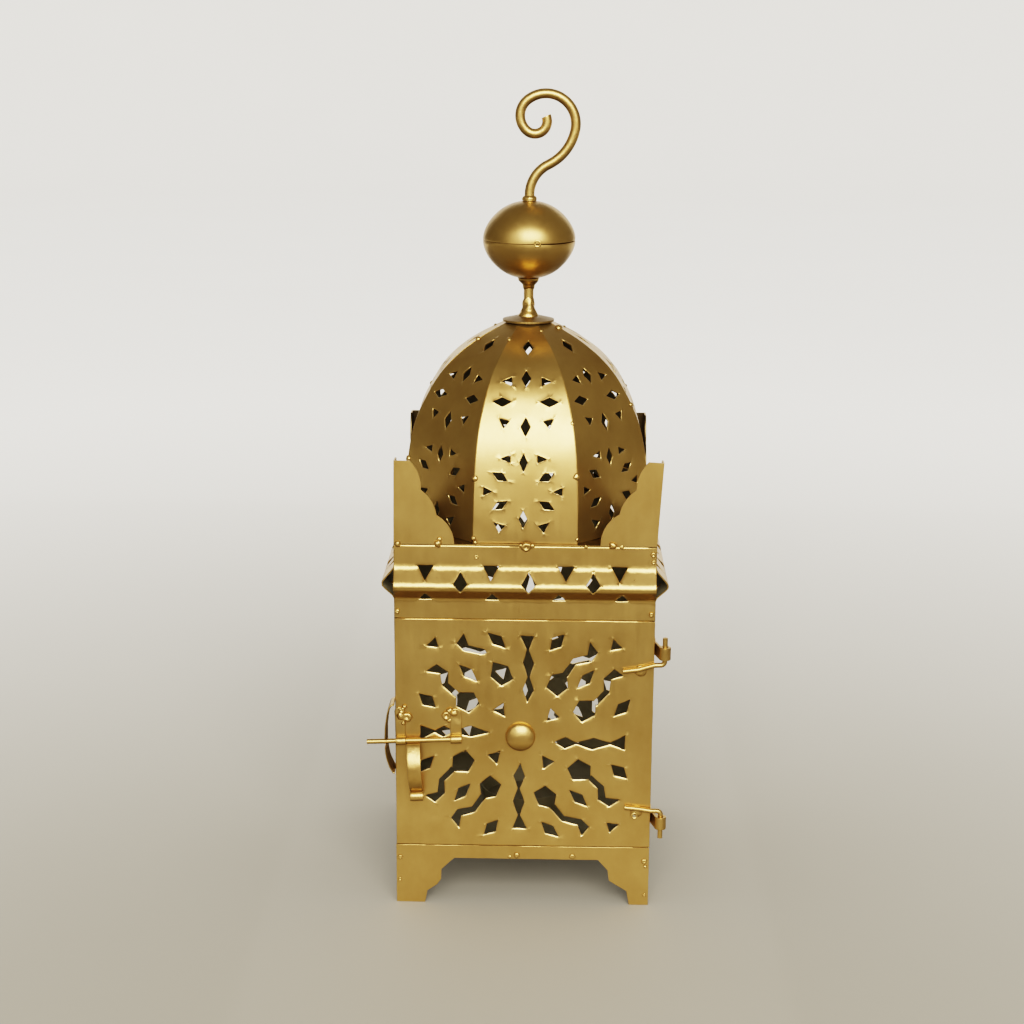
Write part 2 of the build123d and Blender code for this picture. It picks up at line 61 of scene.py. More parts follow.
NODE_SLOT = {entry["node"]: entry["material_slot"] for entry in frame["record"]["subparts"]}


# ---- camera, lights and stage ----
def make_camera():
    """The camera that fits the photograph. Its place is from the foot of the body's centre line."""
    data = bpy.data.cameras.new("camera")
    camera = bpy.data.objects.new("camera", data)
    bpy.context.scene.collection.objects.link(camera)
    data.sensor_width = 36.0
    data.lens = 63.75
    data.clip_start = 0.01
    data.clip_end = 50.0
    place = Vector((0.0096, -0.9271, 0.4267))
    view = Vector((-0.0182, 0.9694, -0.2447))
    roll = Quaternion((0, 0, 1), math.radians(0.372))
    camera.location = BODY_AXIS + place
    camera.rotation_mode = "QUATERNION"
    camera.rotation_quaternion = view.to_track_quat("-Z", "Y") @ roll
    bpy.context.scene.camera = camera


def make_window():
    """A soft rectangular window in front. It lights and is mirrored, and isn't seen itself."""
    place, target = Vector((0.26, -2.6, 1.66)), Vector((0, 0, 0.2))
    width, height, radiance = 2.5, 1.85, 7.9
    data = bpy.data.lights.new("window", "AREA")
    data.shape = "RECTANGLE"
    data.size = width
    data.size_y = height
    data.energy = radiance * math.pi * width * height
    data.color = (1.0, 0.97, 0.91)
    light = bpy.data.objects.new("window", data)
    bpy.context.scene.collection.objects.link(light)
    light.location = place
    light.rotation_mode = "QUATERNION"
    light.rotation_quaternion = (target - place).to_track_quat("-Z", "Y")
    light.visible_camera = False


def make_world():
    """An even, slightly warm light from all round, and the film's response."""
    world = bpy.data.worlds.new("studio")
    bpy.context.scene.world = world
    world.use_nodes = True
    background = world.node_tree.nodes["Background"]
    background.inputs["Color"].default_value = (1.0, 0.985, 0.955, 1)
    background.inputs["Strength"].default_value = 1.25
    bpy.context.scene.view_settings.view_transform = "Filmic"
    bpy.context.scene.view_settings.look = "High Contrast"


def make_floor():
    """A pale round floor that sweeps up far away."""
    flat_radius, sweep, steps = 5.0, 1.6, 14
    outline = [(0.0, 0.0), (0.6, 0.0), (2.0, 0.0), (flat_radius, 0.0)]
    for i in range(1, steps + 1):
        angle = math.pi / 2 * i / steps
        outline.append((flat_radius + sweep * math.sin(angle), sweep * (1 - math.cos(angle))))
    floor = lathe("studio_floor", outline, 96, scale=1.0)
    floor.data.shade_smooth()
    floor.data.materials.append(stage_material())


def flat_cloth(x_range, y_range, z):
    """The corners of a level cloth."""
    (x0, x1), (y0, y1) = x_range, y_range
    return [(x0, y0, z), (x1, y0, z), (x1, y1, z), (x0, y1, z)]


def hung_cloth(x, y_range, z_range):
    """The corners of an upright cloth that faces sideways."""
    (y0, y1), (z0, z1) = y_range, z_range
    return [(x, y0, z0), (x, y1, z0), (x, y1, z1), (x, y0, z1)]


def make_cloths():
    """Dark cloths round the lantern that show only in what the metal mirrors.

    Some lie just above the floor, which is too bright to mirror in front of the lantern and beside it.
    """
    left, right = -1.5, 1.5
    room_depth, room_height = (-1.3, 2.2), (0.05, 1.7)
    ceiling, foot = room_height[1], 0.004
    before, beside = (-2.4, -0.27), (-0.27, 0.8)
    gap = 0.13
    cloths = {
        "left": (0.74, hung_cloth(left, room_depth, room_height)),
        "right": (1.1, hung_cloth(right, room_depth, room_height)),
        "above": (1.0, flat_cloth((left, right), room_depth, ceiling)),
        "below": (1.0, flat_cloth((left, right), before, foot)),
        "below_left": (1.9, flat_cloth((left, -gap), beside, foot)),
        "below_right": (1.9, flat_cloth((gap, right), beside, foot)),
    }
    for name, (shade, corners) in cloths.items():
        sheet = mesh_object("cloth_" + name, corners, [(0, 1, 2, 3)], 1.0)
        sheet.data.materials.append(cloth_material("studio_cloth_" + name, shade))
        sheet.visible_camera = False
        sheet.visible_diffuse = False
        sheet.visible_shadow = False


def cloth_material(name, shade):
    """Dark felt; shade makes it darker or paler."""
    felt = bpy.data.materials.new(name)
    felt.use_nodes = True
    shader = felt.node_tree.nodes["Principled BSDF"]
    shader.inputs["Base Color"].default_value = (0.065 * shade, 0.058 * shade, 0.05 * shade, 1)
    shader.inputs["Roughness"].default_value = 0.95
    return felt


# ---- materials ----
MIX_FIRST, MIX_SECOND, MIX_OUT = 6, 7, 2    # a mix node has several sockets of each name; these hold colours


class Graph:
    """A short way to write a node tree."""

    def __init__(self, name):
        self.material = bpy.data.materials.new(name)
        self.material.use_nodes = True
        self.tree = self.material.node_tree
        self.tree.nodes.clear()
        self.output = self.add("ShaderNodeOutputMaterial")
        self.shader = self.add("ShaderNodeBsdfPrincipled")
        self.link(self.shader, "BSDF", self.output, "Surface")

    def add(self, kind, **settings):
        node = self.tree.nodes.new(kind)
        for key, value in settings.items():
            setattr(node, key, value)
        return node

    def link(self, source, out, target, into):
        self.tree.links.new(source.outputs[out], target.inputs[into])

    def mapped(self, scale):
        """Object coordinates, stretched: scale is how many units of pattern a metre holds along each axis."""
        coordinates = self.add("ShaderNodeTexCoord")
        mapping = self.add("ShaderNodeMapping")
        mapping.inputs["Scale"].default_value = scale
        self.link(coordinates, "Object", mapping, "Vector")
        return mapping

    def noise(self, scale, detail=3.0, rough=0.5):
        texture = self.add("ShaderNodeTexNoise")
        texture.inputs["Scale"].default_value = 1.0
        texture.inputs["Detail"].default_value = detail
        texture.inputs["Roughness"].default_value = rough
        self.link(self.mapped(scale), "Vector", texture, "Vector")
        return texture

    def remap(self, source, out, low, high, to_low, to_high):
        node = self.add("ShaderNodeMapRange")
        node.inputs["From Min"].default_value = low
        node.inputs["From Max"].default_value = high
        node.inputs["To Min"].default_value = to_low
        node.inputs["To Max"].default_value = to_high
        self.link(source, out, node, "Value")
        return node

    def mix(self, factor, factor_out, first, second):
        """A colour between first and second. Each of the two is a colour or another mix."""
        node = self.add("ShaderNodeMix")
        node.data_type = "RGBA"
        self.link(factor, factor_out, node, "Factor")
        for socket, value in ((MIX_FIRST, first), (MIX_SECOND, second)):
            if isinstance(value, tuple):
                node.inputs[socket].default_value = (*value, 1)
            else:
                self.link(value, MIX_OUT, node, socket)
        return node

    def bump(self, height, strength, distance, under=None):
        """Relief of distance metres from a texture's height, over the relief that is under it."""
        node = self.add("ShaderNodeBump")
        node.inputs["Strength"].default_value = strength
        node.inputs["Distance"].default_value = distance
        self.link(height, "Fac", node, "Height")
        if under:
            self.link(under, "Normal", node, "Normal")
        return node


def stage_material():
    """A pale floor, a little greyer under and in front of the lantern than far away."""
    graph = Graph("stage_pale")
    patches = graph.noise((3.0, 3.0, 3.0), detail=4.0)
    near = graph.mix(patches, "Fac", (0.232, 0.209, 0.162), (0.260, 0.237, 0.188))
    far = graph.mix(patches, "Fac", (0.91, 0.885, 0.830), (0.94, 0.915, 0.860))
    coordinates = graph.add("ShaderNodeTexCoord")
    reach = graph.add("ShaderNodeVectorMath", operation="DISTANCE")
    graph.link(coordinates, "Object", reach, 0)
    reach.inputs[1].default_value = (0.0, -0.45, 0.0)
    all_near, all_far = 0.2, 1.9
    share = graph.remap(reach, "Value", all_near, all_far, 0.0, 1.0)
    share.interpolation_type = "SMOOTHSTEP"
    graph.link(graph.mix(share, "Result", near, far), MIX_OUT, graph.shader, "Base Color")
    graph.shader.inputs["Roughness"].default_value = 0.75
    return graph.material


def gold_material(name, tone=1.0, roughness=0.31, streaks=1.0, lumps=0.0, underside_brightness=0.45, shaded_inside=False):
    """Metallic gold paint: faint streaks and mottle, a painted highlight on the lower rims of holes with
    painted glints at the chisel marks, and painted shade, as a darker gold, where a face looks down.

    tone makes the gold paler or darker, streaks and lumps are how strong each relief is, and cover is
    how much of the colour is left in the painted shade on a face that looks down. shaded_inside adds painted
    shade to the faces that look towards the body's centre line.
    """
    graph = Graph(name)
    mottle = graph.noise((34.0, 34.0, 26.0), detail=5.0, rough=0.6)
    streak = graph.noise((620.0, 620.0, 24.0), rough=0.6)
    grain = graph.noise((1500.0, 1500.0, 1500.0), rough=0.6)
    deep = (0.455 * tone, 0.279 * tone, 0.090 * tone)
    pale = (0.592 * tone, 0.384 * tone, 0.134 * tone)
    highlight_colour, inner_shade = (0.98, 0.76, 0.36), (0.10, 0.07, 0.03)
    spread = graph.remap(mottle, "Fac", 0.3, 0.7, 0.0, 1.0)
    base = graph.mix(spread, "Result", deep, pale)
    # painted highlight: the burr attribute turns the lower rims of holes and the chisel marks towards a pale
    # gold
    painted_glint = graph.add("ShaderNodeAttribute")
    painted_glint.attribute_name = "painted_glint"
    edge = graph.remap(painted_glint, "Fac", 0.15, 1.0, 0.0, 0.9)
    geometry = graph.add("ShaderNodeNewGeometry")
    facing = graph.add("ShaderNodeSeparateXYZ")
    graph.link(geometry, "Normal", facing, "Vector")
    # painted shade: faces that look down are mixed towards a darker gold (thin), the more the further they
    # look down; cover is how much colour is left
    looks_down, nearly_level = -0.6, -0.2
    unshaded = graph.remap(facing, "Z", looks_down, nearly_level, 0.0, 1.0)
    thin = tuple(part * underside_brightness for part in deep)
    painted = graph.mix(unshaded, "Result", thin, base)
    # painted shade: faces that look towards the body's centre line get a near-black brown
    if shaded_inside:
        painted = graph.mix(looks_outwards(graph, geometry), "Result", inner_shade, painted)
    graph.link(graph.mix(edge, "Result", painted, highlight_colour), MIX_OUT, graph.shader, "Base Color")
    graph.shader.inputs["Metallic"].default_value = 0.92
    gloss = graph.remap(streak, "Fac", 0.25, 0.75, roughness - 0.02, roughness + 0.04)
    graph.link(gloss, "Result", graph.shader, "Roughness")
    relief = graph.bump(grain, strength=0.14, distance=0.00010)
    relief = graph.bump(streak, strength=0.06 * streaks, distance=0.00012, under=relief)
    if lumps:
        bumpy = graph.noise((420.0, 420.0, 420.0), detail=2.0)
        relief = graph.bump(bumpy, strength=lumps, distance=0.0004, under=relief)
    graph.link(relief, "Normal", graph.shader, "Normal")
    return graph.material


def looks_outwards(graph, geometry):
    """1 on faces that look away from the body's centre line, 0 on faces that look towards it."""
    offset = graph.add("ShaderNodeVectorMath", operation="SUBTRACT")
    graph.link(geometry, "Position", offset, 0)
    offset.inputs[1].default_value = BODY_AXIS
    level = graph.add("ShaderNodeVectorMath", operation="MULTIPLY")
    graph.link(offset, "Vector", level, 0)
    level.inputs[1].default_value = (1.0, 1.0, 0.0)
    dot = graph.add("ShaderNodeVectorMath", operation="DOT_PRODUCT")
    graph.link(level, "Vector", dot, 0)
    graph.link(geometry, "Normal", dot, 1)
    just_inwards, just_outwards = -0.03, 0.0
    return graph.remap(dot, "Value", just_inwards, just_outwards, 0.0, 1.0)


def inside_material():
    """The inner faces: thin overspray on dull sheet, kept dark as painted shade for the inside of the
    lantern.
    """
    graph = Graph("inside_dull_and_shaded")
    mottle = graph.noise((40.0, 40.0, 40.0), detail=5.0, rough=0.6)
    colour = graph.mix(mottle, "Fac", (0.15, 0.125, 0.072), (0.28, 0.24, 0.145))
    graph.link(colour, MIX_OUT, graph.shader, "Base Color")
    graph.shader.inputs["Metallic"].default_value = 0.25
    graph.shader.inputs["Roughness"].default_value = 0.62
    graph.link(graph.bump(mottle, strength=0.3, distance=0.0002), "Normal", graph.shader, "Normal")
    return graph.material


MATERIALS = {
    "panel_gold": gold_material("gold_paint_on_flat_sheet"),
    "moulding_gold": gold_material("gold_paint_on_bent_strip", 1.02, roughness=0.29),
    "dome_gold": gold_material("gold_paint_on_dome", 0.98, roughness=0.30),
    "wire_gold": gold_material("gold_paint_on_wire", streaks=0.3, lumps=0.25),
    "solder_gold": gold_material("gold_paint_on_solder", 1.06, roughness=0.29, streaks=0.0, lumps=0.7),
}
INSIDE = inside_material()
# Crests and door frame: gold, with painted shade on the faces that look inwards.
OUTSIDE_GOLD = gold_material("gold_paint_shaded_inside", 0.94, shaded_inside=True)
# A much darker copy of the gold, as painted shade on the cap, with strong painted shade on its faces that
# look down, which the ball mirrors.
CAP_GOLD = gold_material("gold_paint_on_cap", 0.55, roughness=0.42, underside_brightness=0.15)
# A much darker copy of the gold: painted shade on the roof deck under the dome and on the side keeper's face
# towards the wall.
SHADE_GOLD = gold_material("gold_paint_dark_for_shade", 0.3, roughness=0.42)
# A slightly darker copy of the gold, as painted shade on the ball, with only a little painted shade on its
# faces that look down.
BALL_GOLD = gold_material("gold_paint_on_ball", 0.9, roughness=0.33, underside_brightness=0.92)


# ---- mesh helpers ----
def mesh_object(name, points, faces, scale=MM):
    """A new object from its points and faces. The points are in millimetres unless scale says otherwise."""
    mesh = bpy.data.meshes.new(name)
    mesh.from_pydata([tuple(c * scale for c in p) for p in points], [], faces)
    mesh.validate()
    thing = bpy.data.objects.new(name, mesh)
    bpy.context.scene.collection.objects.link(thing)
    return thing


def lathe(name, outline, around, scale=MM, wobble=None):
    """A shape turned about the Z axis from (radius, z) points. It closes where the first radius is 0."""
    points, rows, faces = [], [], []
    for radius, z in outline:
        if radius == 0:
            rows.append([len(points)])
            points.append((0.0, 0.0, z))
            continue
        row = []
        for k in range(around):
            angle = 2 * math.pi * k / around
            extra = wobble(angle, z) if wobble else 0.0
            row.append(len(points))
            points.append(((radius + extra) * math.cos(angle), (radius + extra) * math.sin(angle), z))
        rows.append(row)
    for lower, upper in zip(rows, rows[1:]):
        for k in range(around):
            m = (k + 1) % around
            if len(lower) == 1:
                faces.append((lower[0], upper[m], upper[k]))
            else:
                faces.append((lower[k], lower[m], upper[m], upper[k]))
    return mesh_object(name, points, faces, scale)


def finish_piece(thing, body, slot, material=None, sharp_degrees=40.0, inside=False):
    """Smooth shading with crisp edges, the slot's material or another, and the body that it rides on."""
    mesh = thing.data
    mesh.shade_smooth()
    mesh.set_sharp_from_angle(angle=math.radians(sharp_degrees))
    mesh.materials.append(material or MATERIALS[slot])
    if inside:
        mesh.materials.append(INSIDE)
    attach(thing, body)


def stand_for(thing, node, **looks):
    """A detailed piece in place of a CAD node, with its body and material slot."""
    finish_piece(thing, NODE_BODY[node], NODE_SLOT[node], **looks)
    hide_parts(node)


def wave(x, y, seed, size):
    """Smooth noise, between about -0.5 and 0.5, that changes over size millimetres."""
    return noise.noise(Vector((x / size, y / size, seed * 7.31)))


# ---- pierced and bent sheets, rebuilt from the CAD sheets with the marks of hand work ----
FLAT_ANGLE = math.radians(35)
SAME_PLACE = 2e-6
BORDER_STEP, RIM_STEP = 2.4, 1.3
LIP_WIDTH, MARK_WIDTH = 0.5, 0.2


def skin_loops(node, turn):
    """The edge loops of a sheet's outer skin, with the sheet turned to face -Y, and the line it is bent to.

    Both are in millimetres. The bent line is a sorted list of (z, y).
    """
    farthest_back = 9.0
    work = bmesh.new()
    work.from_mesh(NODES[node].data)
    bmesh.ops.remove_doubles(work, verts=work.verts, dist=SAME_PLACE)
    work.transform(Matrix.Scale(1 / MM, 4) @ Matrix.Rotation(-turn, 4, "Z") @ Matrix.Translation(-BODY_AXIS))
    work.normal_update()
    work.faces.index_update()
    outward = [f for f in work.faces if f.normal.y < -0.5]
    foremost = min(f.calc_center_median().y for f in outward)
    in_front = [f for f in outward if f.calc_center_median().y < foremost + farthest_back]
    largest = max(in_front, key=lambda f: f.calc_area())
    skin, waiting = {largest}, [largest]
    while waiting:
        face = waiting.pop()
        for edge in face.edges:
            for other in edge.link_faces:
                if other not in skin and other.normal.angle(face.normal, 4.0) < FLAT_ANGLE:
                    skin.add(other)
                    waiting.append(other)
    following = {}
    for face in sorted(skin, key=lambda f: f.index):
        for loop in face.loops:
            if sum(1 for f in loop.edge.link_faces if f in skin) == 1:
                following[loop.vert] = loop.link_loop_next.vert
    loops = []
    while following:
        start, vert = next(iter(following.items()))
        line = [start.co.copy()]
        del following[start]
        while vert in following:
            line.append(vert.co.copy())
            vert = following.pop(vert)
        if len(line) > 2:
            loops.append(line)
    section = sorted({(round(v.co.z, 3), round(v.co.y, 3)) for f in skin for v in f.verts})
    work.free()
    return loops, section


class Section:
    """The bent line that a sheet follows: a place along it to (y, z) and to its outward normal."""

    def __init__(self, points):
        shortest = 0.02
        kept = [points[0]]
        for point in points[1:]:
            if point[0] - kept[-1][0] > shortest:
                kept.append(point)
        self.z, self.y = np.array(kept).T
        steps = np.hypot(np.diff(self.z), np.diff(self.y))
        self.s = np.concatenate([[0.0], np.cumsum(steps)])

    def along(self, z):
        """How far along the line a height is."""
        return np.interp(z, self.z, self.s)

    def place(self, s):
        """The y and z at a distance along the line."""
        return np.interp(s, self.s, self.y), np.interp(s, self.s, self.z)

    def normal(self, s):
        """The y and z of the outward direction, from the line's slope over reach on each side."""
        reach = 0.35
        y0, z0 = self.place(np.clip(s - reach, 0, self.s[-1]))
        y1, z1 = self.place(np.clip(s + reach, 0, self.s[-1]))
        length = np.hypot(y1 - y0, z1 - z0) + 1e-9
        return -(z1 - z0) / length, (y1 - y0) / length


def resample(line, step):
    """Points along a closed line, no further apart than step, with every corner kept."""
    out = []
    for a, b in zip(line, np.roll(line, -1, axis=0)):
        count = max(1, int(math.ceil(np.linalg.norm(b - a) / step)))
        out.extend(a + (b - a) * k / count for k in range(count))
    return np.array(out)


def drop_straight(line, slack=0.015):
    """The same closed line with only the points that it needs to stay within slack of itself."""
    run = np.roll(line, -1, axis=0) - line
    back = line - np.roll(line, 1, axis=0)
    sharp = np.abs(run[:, 0] * back[:, 1] - run[:, 1] * back[:, 0])
    sharp /= np.linalg.norm(run, axis=1) * np.linalg.norm(back, axis=1) + 1e-9
    line = np.roll(line, -int(np.argmax(sharp)), axis=0)
    closed = np.vstack([line, line[:1]])
    kept, start = [closed[0]], 0
    for end in range(2, len(closed)):
        between = closed[start + 1:end]
        if distance_to(between, closed[start:start + 1], closed[end:end + 1]).max() > slack:
            start = end - 1
            kept.append(closed[start])
    return np.array(kept) if len(kept) > 2 else line


def distance_to(points, starts, ends):
    """The distance from each point to the nearest of the segments. The points are taken in blocks."""
    best = np.full(len(points), 1e9)
    if len(starts) == 0:
        return best
    block = 2000
    span = ends - starts
    length = (span ** 2).sum(1) + 1e-12
    for first in range(0, len(points), block):
        offset = points[first:first + block, None, :] - starts[None]
        share = np.clip((offset * span).sum(2) / length, 0, 1)
        gap = np.linalg.norm(offset - share[:, :, None] * span, axis=2)
        best[first:first + block] = gap.min(1)
    return best


def inside_lines(points, lines):
    """True where a point is inside an odd number of the closed lines."""
    odd = np.zeros(len(points), bool)
    x, y = points[:, 0], points[:, 1]
    for line in lines:
        following = np.roll(line, -1, axis=0)
        for (x0, y0), (x1, y1) in zip(line, following):
            if y0 == y1:
                continue
            crosses = (y0 > y) != (y1 > y)
            odd ^= crosses & (x < (x1 - x0) * (y - y0) / (y1 - y0) + x0)
    return odd


def chisel_marks(holes, seed):
    """Short scores where a cut ran on past the corner of a hole."""
    longest_plain_side, shortest_mark, gap = 2.0, 0.4, 0.3
    starts, ends = [], []
    for k, hole in enumerate(holes):
        count = len(hole)
        for i in range(count):
            before, here, after = hole[i - 1], hole[i], hole[(i + 1) % count]
            for other in (before, after):
                run = here - other
                length = np.linalg.norm(run)
                reach = 0.45 + wave(i * 3.7 + other[0], k * 5.1 + other[1], seed, 2.0)
                if length < longest_plain_side or reach < shortest_mark:
                    continue
                unit = run / length
                starts.append(here + unit * gap)
                ends.append(here + unit * (gap + reach))
    return np.array(starts).reshape(-1, 2), np.array(ends).reshape(-1, 2)


def sheet_points(border, holes, marks, grid, seed):
    """Where the skin has points: on the edges, beside the holes and the marks, and loosely in between.

    Returns the edges' closed lines, where each segment of them starts and ends, and the other points.
    """
    border_unevenness, hole_unevenness, grid_unevenness = 0.12, 0.2, 0.5
    beside_holes, beside_marks, along_marks = (0.35, 0.8), 0.26, (0.3, 1.0)
    near_gap, loose_gap = 0.24, 0.6
    rims = [resample(border, BORDER_STEP)] + [resample(hole, RIM_STEP) for hole in holes]
    for k, rim in enumerate(rims):
        amount = border_unevenness if k == 0 else hole_unevenness
        for p in rim:
            shift = (wave(p[0], p[1], seed, 5.0), wave(p[1], p[0], seed + 3, 5.0))
            p += np.array(shift) * amount
    starts = np.concatenate(rims)
    ends = np.concatenate([np.roll(rim, -1, axis=0) for rim in rims])
    extra = []
    for rim in rims[1:]:
        tangent = np.roll(rim, -1, axis=0) - np.roll(rim, 1, axis=0)
        tangent /= np.linalg.norm(tangent, axis=1)[:, None] + 1e-9
        side = np.stack([tangent[:, 1], -tangent[:, 0]], 1)
        for offset in beside_holes:
            extra += [rim + side * offset, rim - side * offset]
    mark_starts, mark_ends = marks
    for a, b in zip(mark_starts, mark_ends):
        unit = (b - a) / (np.linalg.norm(b - a) + 1e-9)
        side = np.array((unit[1], -unit[0])) * beside_marks
        for share in along_marks:
            middle = a + (b - a) * share
            extra.append(np.array([middle, middle + side, middle - side]))
    low, high = border.min(0), border.max(0)
    xs = np.arange(low[0] + grid / 2, high[0], grid)
    ys = np.arange(low[1] + grid / 2, high[1], grid)
    push = grid * grid_unevenness
    loose = np.array([(x + wave(x, y, seed + 9, 1.7) * push, y + wave(y, x, seed + 5, 1.7) * push)
                      for x in xs for y in ys])
    near = np.concatenate(extra) if extra else np.zeros((0, 2))
    near = near[inside_lines(near, rims) & (distance_to(near, starts, ends) > near_gap)]
    loose = loose[inside_lines(loose, rims) & (distance_to(loose, starts, ends) > loose_gap)]
    return rims, starts, ends, np.concatenate([near, loose])


def triangulate(rims, loose):
    """Triangles between the rims and the loose points, all turned the same way and none of them outside."""
    slimmest = 1e-7
    edges, base = [], 0
    for rim in rims:
        edges += [(base + i, base + (i + 1) % len(rim)) for i in range(len(rim))]
        base += len(rim)
    points = [Vector(p) for p in np.concatenate(rims + [loose])]
    made, _, triangles, *_ = delaunay_2d_cdt(points, edges, [], 0, 1e-4)
    flat = np.array([tuple(p) for p in made])
    triangles = np.array([t for t in triangles if len(t) == 3])
    triangles = triangles[inside_lines(flat[triangles].mean(1), rims)]
    corner = flat[triangles]
    spread = corner[:, 1] - corner[:, 0]
    other = corner[:, 2] - corner[:, 0]
    area = spread[:, 0] * other[:, 1] - spread[:, 1] * other[:, 0]
    triangles[area < 0] = triangles[area < 0][:, ::-1]
    return flat, triangles[np.abs(area) >= slimmest]


def edges_of_one_triangle(triangles):
    """The directed edges that have a triangle on one side only."""
    pairs = {}
    for a, b, c in triangles:
        for pair in ((a, b), (b, c), (c, a)):
            pairs[pair] = True
    return [(a, b) for a, b in pairs if (b, a) not in pairs]


def away_from_edges(flat, open_edges):
    """For each point on an edge, the unit direction into the sheet. It is 0 elsewhere."""
    inward = np.zeros((len(flat), 2))
    for a, b in open_edges:
        run = flat[b] - flat[a]
        side = np.array((-run[1], run[0])) / (np.linalg.norm(run) + 1e-9)
        inward[a] += side
        inward[b] += side
    size = np.linalg.norm(inward, axis=1)
    on_edge = size > 1e-6
    inward[on_edge] /= size[on_edge][:, None]
    return inward


def rebuilt_sheet(node, turn, seed, grid=2.6, lip=-0.2, dent=0.22, mark=0.17, bumps=(), chamfer=0.1):
    """A sheet like the CAD node, with wavy faces, bent rims round its holes, chisel marks and dulled edges.

    lip is how far the rims stand out, and is negative where the chisel pushed them in. mark is how far
    the chisel marks stand out, and 0 leaves them off.
    """
    loops, section = skin_loops(node, turn)
    bend = Section(section)
    outlines = [drop_straight(np.array([(p.x, float(bend.along(p.z))) for p in line])) for line in loops]
    spans = [np.ptp(line[:, 0]) * np.ptp(line[:, 1]) for line in outlines]
    border = outlines.pop(int(np.argmax(spans)))
    marks = chisel_marks(outlines, seed) if mark else (np.zeros((0, 2)), np.zeros((0, 2)))
    rims, starts, ends, loose = sheet_points(border, outlines, marks, grid, seed)
    flat, triangles = triangulate(rims, loose)

    first_hole = len(rims[0])
    hole_gap = distance_to(flat, starts[first_hole:], ends[first_hole:])
    mark_gap = distance_to(flat, *marks)
    wide, narrow, unevenness = 34.0, 13.0, 4.0
    height = np.zeros(len(flat))
    for i, (x, s) in enumerate(flat):
        strength = lip * (0.75 + 0.9 * wave(x, s, seed + 1, unevenness))
        height[i] = strength * math.exp(-((hole_gap[i] / LIP_WIDTH) ** 2))
        height[i] += mark * math.exp(-((mark_gap[i] / MARK_WIDTH) ** 2))
        height[i] += dent * (wave(x, s, seed, wide) + 0.45 * wave(x, s, seed + 2, narrow))
        for bump_x, bump_s, size in bumps:
            height[i] += 0.4 * size * math.exp(-(((x - bump_x) ** 2 + (s - bump_s) ** 2) / size ** 2))
    open_edges = edges_of_one_triangle(triangles)
    inward = away_from_edges(flat, open_edges)
    # painted highlight on the lower rims of holes, whose cut edges face up to the light, and painted glints
    # along the chisel marks
    on_hole, glint_width = 0.05, 0.22
    lower_rim = np.clip(-inward[:, 1], 0, 1) * (hole_gap < on_hole)
    painted_glint = 0.62 * lower_rim + 0.42 * np.exp(-((mark_gap / glint_width) ** 2))

    def lifted(places, heights):
        y, z = bend.place(places[:, 1])
        ny, nz = bend.normal(places[:, 1])
        return np.stack([places[:, 0], y + ny * heights, z + nz * heights], 1)

    width_to_depth = 2.2
    face_edge = flat + inward * chamfer * width_to_depth
    rows = [
        lifted(face_edge, height), lifted(flat, height - chamfer),
        lifted(flat, height - SHEET + chamfer), lifted(face_edge, height - SHEET),
    ]
    count = len(flat)
    front = [tuple(t) for t in triangles]
    rim = [(b + row, a + row, a + row + count, b + row + count)
           for a, b in open_edges for row in range(0, 3 * count, count)]
    back = [tuple(t[::-1] + 3 * count) for t in triangles]
    used = sorted({int(i) for face in front + rim + back for i in face})
    renumber = {old: new for new, old in enumerate(used)}
    faces = [tuple(renumber[int(i)] for i in face) for face in front + rim + back]
    thing = mesh_object(node + "_sheet", np.concatenate(rows)[used].tolist(), faces)
    thing.data.transform(Matrix.Translation(BODY_AXIS) @ Matrix.Rotation(turn, 4, "Z"))
    attribute = thing.data.attributes.new("painted_glint", "FLOAT", "POINT")
    shine = np.concatenate([painted_glint, painted_glint, painted_glint, np.zeros(count)])[used]
    attribute.data.foreach_set("value", shine.astype(np.float32))
    stand_for(thing, node, sharp_degrees=62.0, inside=True)
    for face in thing.data.polygons[len(front) + len(rim):]:
        face.material_index = 1
    crisp_rims(thing.data, len(front))


def crisp_rims(mesh, front_faces):
    """Keep the shading of the face apart from the shading of its worn edges."""
    face_edges, rim_edges = set(), set()
    for face in mesh.polygons:
        (face_edges if face.index < front_faces else rim_edges).update(face.edge_keys)
    shared = face_edges & rim_edges
    for edge in mesh.edges:
        if edge.key in shared:
            edge.use_edge_sharp = True


def make_sheets():
    """The door, the skirts and mouldings, the walls and the dome's gores."""
    quarter = math.pi / 2
    rebuilt_sheet("door_panel", 0.0, 1, bumps=[(-46.4, 11.4, 1.6)])
    for k, side in enumerate(("front", "right", "back", "left")):
        rebuilt_sheet("skirt_" + side, quarter * k, 10 + k, grid=3.2, mark=0.0, chamfer=0.05)
        rebuilt_sheet("moulding_" + side, quarter * k, 20 + k, grid=1.5, lip=-0.1, chamfer=0.19)
    for k, side in enumerate(("right", "back", "left"), start=1):
        rebuilt_sheet(side + "_wall", quarter * k, 30 + k)
    for k in range(8):
        rebuilt_sheet(f"dome_gore_{k + 1}", quarter / 2 * k, 40 + k, grid=2.2, lip=0.08, dent=0.35, mark=0.1)


